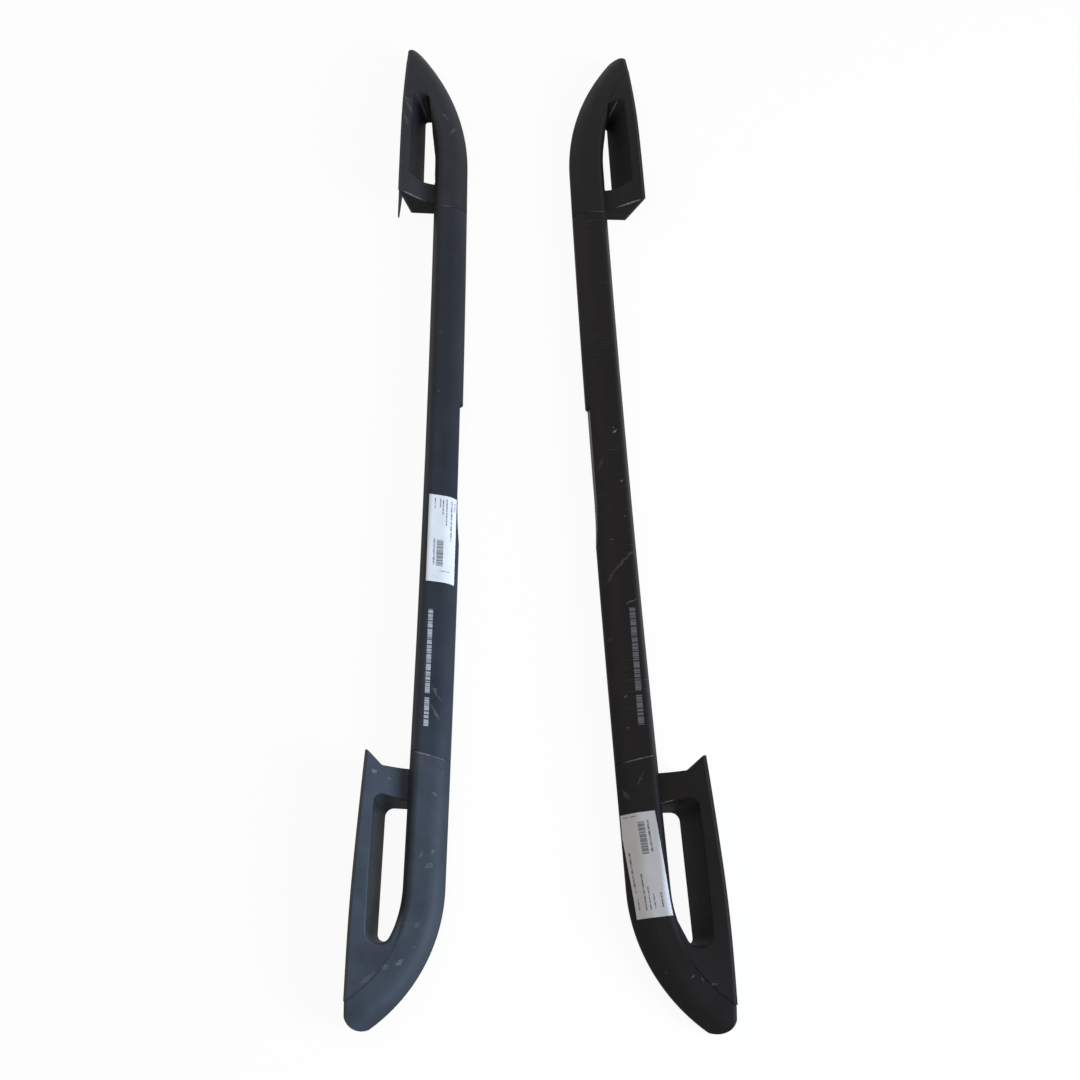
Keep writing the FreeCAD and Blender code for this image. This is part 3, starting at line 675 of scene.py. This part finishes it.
def studio_paper(colour):
    """Seamless white paper: it keeps a soft shadow, and camera, gloss and glass see it near white."""
    material = bpy.data.materials.new("seamless_paper")
    material.use_nodes = True
    tree = material.node_tree
    shader = tree.nodes["Principled BSDF"]
    shader.inputs["Base Color"].default_value = (*colour, 1)
    shader.inputs["Roughness"].default_value = 0.9
    shader.inputs["Specular IOR Level"].default_value = 0.0
    share = add(tree, "ShaderNodeMath", {0: rays_that_see(tree), 1: FLOOR_GLOW_SHARE}, operation="MULTIPLY")
    glow = add(tree, "ShaderNodeEmission", {"Color": (1, 1, 1, 1), "Strength": FLOOR_GLOW})
    mixed = add(tree, "ShaderNodeMixShader", {
        0: share.outputs[0], 1: shader.outputs[0], 2: glow.outputs[0]})
    tree.links.new(mixed.outputs[0], tree.nodes["Material Output"].inputs["Surface"])
    return material


def light_world(scene):
    """Even grey daylight, which camera, gloss and glass see as white."""
    world = bpy.data.worlds.new("soft_daylight")
    world.use_nodes = True
    tree = world.node_tree
    back = tree.nodes["Background"]
    level = add(tree, "ShaderNodeMapRange", {0: rays_that_see(tree), 3: WORLD_LIGHT, 4: WORLD_SEEN})
    tree.links.new(level.outputs[0], back.inputs["Strength"])
    back.inputs["Color"].default_value = (1, 1, 1, 1)
    scene.world = world


def hang_lamp(name, place, aim, size, power, colour):
    """A large square lamp that looks at a place."""
    lamp = bpy.data.lights.new(name, "AREA")
    lamp.size = size
    lamp.energy = power
    lamp.color = colour
    held = bpy.data.objects.new(name, lamp)
    held.location = place
    held.rotation_euler = (Vector(aim) - Vector(place)).to_track_quat("-Z", "Y").to_euler()
    bpy.context.scene.collection.objects.link(held)


def place_camera(scene, stage):
    """The camera, high over the near end, looking down along the rails."""
    lens = bpy.data.cameras.new("camera")
    lens.sensor_width = SENSOR_WIDTH
    lens.lens = stage.focal_length
    lens.shift_x, lens.shift_y = stage.shift
    camera = bpy.data.objects.new("camera", lens)
    camera.matrix_world = (
        Matrix.Translation(stage.camera_place)
        @ Matrix.Rotation(-stage.camera_heading, 4, "Z")
        @ Matrix.Rotation(math.radians(90) - stage.camera_pitch, 4, "X")
        @ Matrix.Rotation(stage.camera_roll, 4, "Z"))
    scene.collection.objects.link(camera)
    scene.camera = camera
    scene.view_settings.view_transform = "Standard"


STEPS = (
    ROOFRAILS_OT_coat_bars, ROOFRAILS_OT_grain_feet, ROOFRAILS_OT_lay_gaskets, ROOFRAILS_OT_fit_fasteners,
    ROOFRAILS_OT_stick_labels, ROOFRAILS_OT_set_stage)


class VIEW3D_PT_roof_rails(bpy.types.Panel):
    """Lists the finishes and the steps"""
    bl_idname = "VIEW3D_PT_roof_rails"
    bl_label = "Roof rails"
    bl_space_type = "VIEW_3D"
    bl_region_type = "UI"
    bl_category = "Roof rails"

    def draw(self, context):
        for group in (context.scene.rail_finishes, context.scene.rail_stage):
            for name in group.__annotations__:
                self.layout.prop(group, name)
        for step in STEPS:
            self.layout.operator(step.bl_idname)


CLASSES = (RailFinishes, RailStage, *STEPS, VIEW3D_PT_roof_rails)


def register():
    for kind in CLASSES:
        bpy.utils.register_class(kind)
    bpy.types.Scene.rail_finishes = bpy.props.PointerProperty(type=RailFinishes)
    bpy.types.Scene.rail_stage = bpy.props.PointerProperty(type=RailStage)


def unregister():
    del bpy.types.Scene.rail_stage
    del bpy.types.Scene.rail_finishes
    for kind in reversed(CLASSES):
        bpy.utils.unregister_class(kind)


def main():
    register()
    bpy.ops.roof_rails.coat_bars()
    bpy.ops.roof_rails.grain_feet()
    bpy.ops.roof_rails.lay_gaskets()
    bpy.ops.roof_rails.fit_fasteners()
    bpy.ops.roof_rails.stick_labels()
    bpy.ops.roof_rails.set_stage()


if __name__ == "__main__":
    main()
